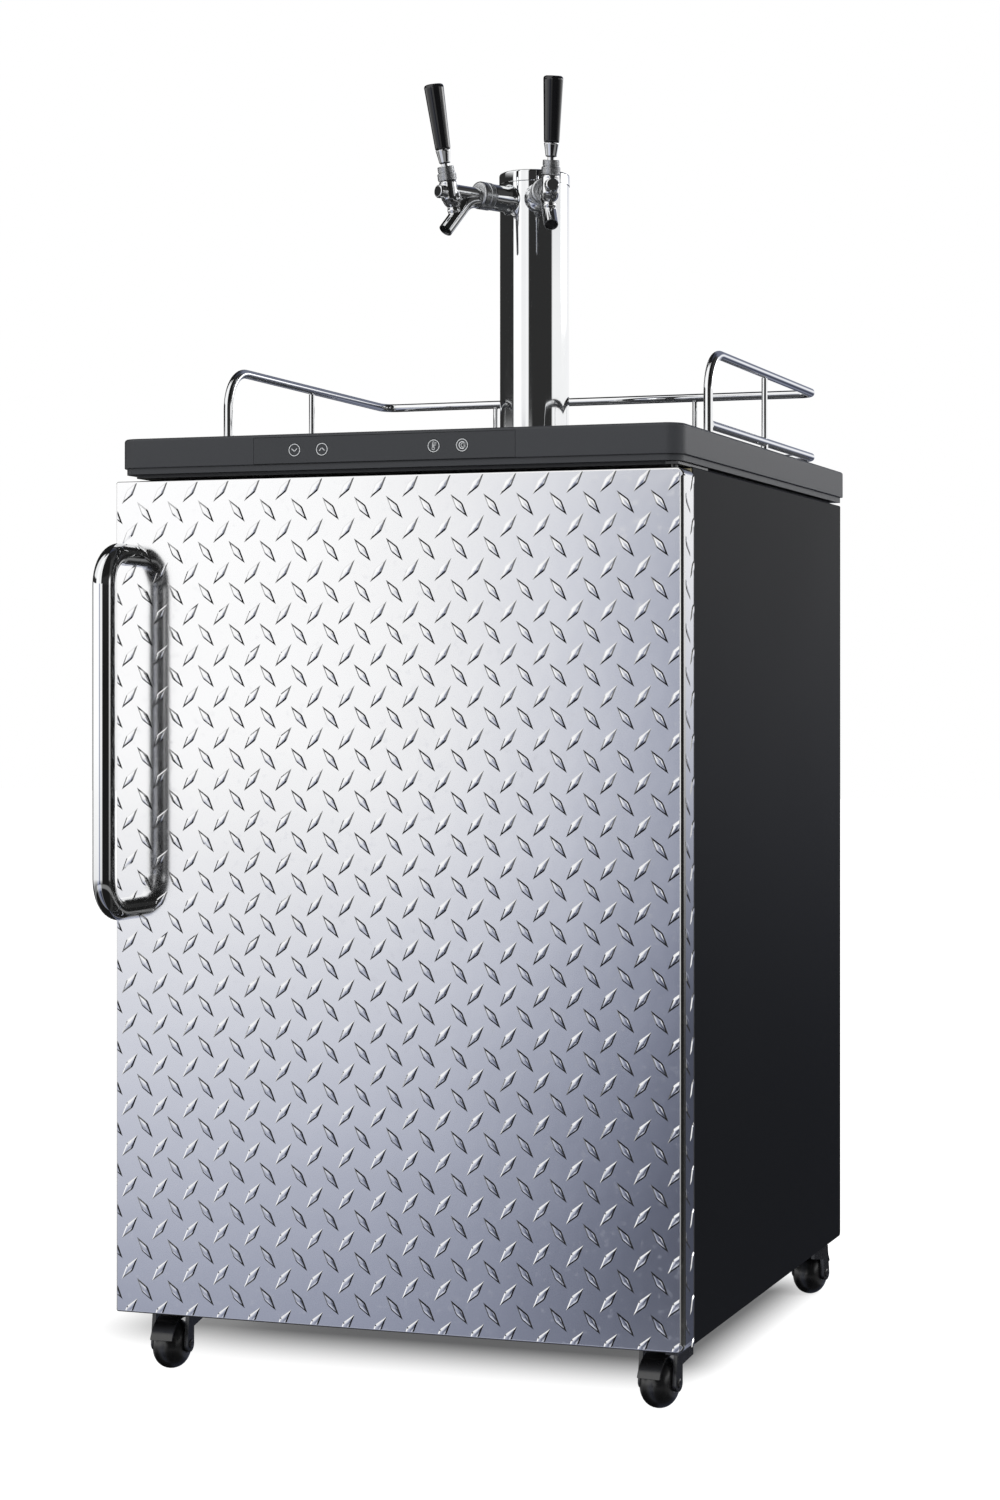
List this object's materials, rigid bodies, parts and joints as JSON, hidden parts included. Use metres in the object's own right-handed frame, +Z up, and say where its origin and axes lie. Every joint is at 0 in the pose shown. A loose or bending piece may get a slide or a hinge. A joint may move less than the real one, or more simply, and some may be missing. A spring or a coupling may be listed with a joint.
{
  "type": "kegerator",
  "caption": "Free-standing beer dispenser on casters with a tread plate door, guard rail, and a tower with forward-leaning tap levers.",
  "frame": {"origin": "on the floor under the middle of the overall box, which runs from the door handle's front to the worktop's rear edge", "axes": "+Z up, +Y to the back, +X to the hinge side, which is on the right of someone who faces the door"},
  "size_m": [0.6, 0.67, 1.3362],
  "materials": {
    "satin_black": "satin black paint with a fine orange-peel grain",
    "textured_black": "black plastic with a fine leather grain",
    "fascia_black": "smooth satin black",
    "display": "smoked, glossy",
    "gloss_black": "polished",
    "tread_plate": "bright rolled tread plate",
    "chrome": "polished",
    "knurled_chrome": "knurled and polished",
    "brushed_steel": "brushed",
    "galvanised": "zinc coated sheet",
    "white_liner": "white vacuum-formed sheet",
    "foam": "rigid insulation foam",
    "door_edge": "foam with a dark grey edge",
    "gasket": "soft grey sealing strip",
    "grey_plastic": "moulded",
    "circuit_board": "lacquered board",
    "caster_black": "gloss black",
    "wheel_rubber": "hard black rubber"
  },
  "bodies": {
    "cabinet": {"cabinet_shell": "satin_black", "foam_insulation": "foam", "inner_liner": "white_liner", "back_panel": "galvanised", "compressor_cover": "galvanised", "base_plate": "galvanised", "keg_floor_plate": "galvanised", "evaporator_cover": "white_liner", "fan_housing": "textured_black", "compressor": "satin_black", "cord_inlet": "wheel_rubber", "top_hinge": "galvanised", "bottom_hinge": "galvanised", "worktop": "textured_black", "control_fascia": "fascia_black", "display_window": "display", "control_board": "circuit_board", "guard_rail_top": "chrome", "guard_rail_low": "chrome", "tower_flange": "chrome", "tower_column": "chrome", "tower_cap": "chrome", "left_shank": "chrome", "left_coupling_nut": "chrome", "left_faucet_body": "chrome", "left_bonnet": "knurled_chrome", "right_shank": "chrome", "right_coupling_nut": "chrome", "right_faucet_body": "chrome", "right_bonnet": "knurled_chrome", "drip_tray": "brushed_steel", "drip_grille": "brushed_steel"},
    "fan": {"fan_rotor": "grey_plastic"},
    "door": {"door_skin": "tread_plate", "door_core": "door_edge", "door_gasket": "gasket", "door_liner": "white_liner", "door_handle": "chrome"},
    "left_tap": {"left_lever": "chrome", "left_tap_handle": "gloss_black"},
    "right_tap": {"right_lever": "chrome", "right_tap_handle": "gloss_black"},
    "colder": {"key_colder": "fascia_black"},
    "warmer": {"key_warmer": "fascia_black"},
    "units": {"key_units": "fascia_black"},
    "boost": {"key_boost": "fascia_black"},
    "front_left_swivel": {"front_left_caster_fork": "caster_black", "front_left_caster_axle": "brushed_steel"},
    "front_left_wheel": {"front_left_caster_wheel": "wheel_rubber"},
    "front_right_swivel": {"front_right_caster_fork": "caster_black", "front_right_caster_axle": "brushed_steel"},
    "front_right_wheel": {"front_right_caster_wheel": "wheel_rubber"},
    "rear_left_swivel": {"rear_left_caster_fork": "caster_black", "rear_left_caster_axle": "brushed_steel"},
    "rear_left_wheel": {"rear_left_caster_wheel": "wheel_rubber"},
    "rear_right_swivel": {"rear_right_caster_fork": "caster_black", "rear_right_caster_axle": "brushed_steel"},
    "rear_right_wheel": {"rear_right_caster_wheel": "wheel_rubber"}
  },
  "joints": [
    {"name": "door_hinge", "type": "hinge", "parent": "cabinet", "child": "door", "pos_m": [0.284, -0.254, 0.48], "axis": [0, 0, 1], "range_deg": [0, 120]},
    {"name": "left_tap_pull", "type": "hinge", "parent": "cabinet", "child": "left_tap", "pos_m": [-0.0599, 0.01293, 1.24266], "axis": [0.8746, -0.4848, 0], "range_deg": [0, 24]},
    {"name": "right_tap_pull", "type": "hinge", "parent": "cabinet", "child": "right_tap", "pos_m": [0.0599, 0.01293, 1.24266], "axis": [0.8746, 0.4848, 0], "range_deg": [0, 24]},
    {"name": "key_colder_press", "type": "slide", "parent": "cabinet", "child": "colder", "axis": [0, 1, 0], "range_m": [0, 0.0008], "stiffness_N_per_m": 300, "springref_m": -0.001},
    {"name": "key_warmer_press", "type": "slide", "parent": "cabinet", "child": "warmer", "axis": [0, 1, 0], "range_m": [0, 0.0008], "stiffness_N_per_m": 300, "springref_m": -0.001},
    {"name": "key_units_press", "type": "slide", "parent": "cabinet", "child": "units", "axis": [0, 1, 0], "range_m": [0, 0.0008], "stiffness_N_per_m": 300, "springref_m": -0.001},
    {"name": "key_boost_press", "type": "slide", "parent": "cabinet", "child": "boost", "axis": [0, 1, 0], "range_m": [0, 0.0008], "stiffness_N_per_m": 300, "springref_m": -0.001},
    {"name": "fan_spin", "type": "hinge", "parent": "cabinet", "child": "fan", "pos_m": [0, 0.2571, 0.6317], "axis": [0, 1, 0], "continuous": true},
    {"name": "front_left_swivel_turn", "type": "hinge", "parent": "cabinet", "child": "front_left_swivel", "pos_m": [-0.262, -0.202, 0.06], "axis": [0, 0, 1], "continuous": true},
    {"name": "front_left_wheel_roll", "type": "hinge", "parent": "front_left_swivel", "child": "front_left_wheel", "pos_m": [-0.26095, -0.22197, 0.025], "axis": [0.9986, 0.0523, 0], "continuous": true},
    {"name": "front_right_swivel_turn", "type": "hinge", "parent": "cabinet", "child": "front_right_swivel", "pos_m": [0.262, -0.202, 0.06], "axis": [0, 0, 1], "continuous": true},
    {"name": "front_right_wheel_roll", "type": "hinge", "parent": "front_right_swivel", "child": "front_right_wheel", "pos_m": [0.25956, -0.22185, 0.025], "axis": [0.9925, -0.1219, 0], "continuous": true},
    {"name": "rear_left_swivel_turn", "type": "hinge", "parent": "cabinet", "child": "rear_left_swivel", "pos_m": [-0.262, 0.286, 0.06], "axis": [0, 0, 1], "continuous": true},
    {"name": "rear_left_wheel_roll", "type": "hinge", "parent": "rear_left_swivel", "child": "rear_left_wheel", "pos_m": [-0.2606, 0.30595, 0.025], "axis": [0.9976, -0.0698, 0], "continuous": true},
    {"name": "rear_right_swivel_turn", "type": "hinge", "parent": "cabinet", "child": "rear_right_swivel", "pos_m": [0.262, 0.286, 0.06], "axis": [0, 0, 1], "continuous": true},
    {"name": "rear_right_wheel_roll", "type": "hinge", "parent": "rear_right_swivel", "child": "rear_right_wheel", "pos_m": [0.26547, 0.3057, 0.025], "axis": [0.9848, -0.1736, 0], "continuous": true}
  ]
}
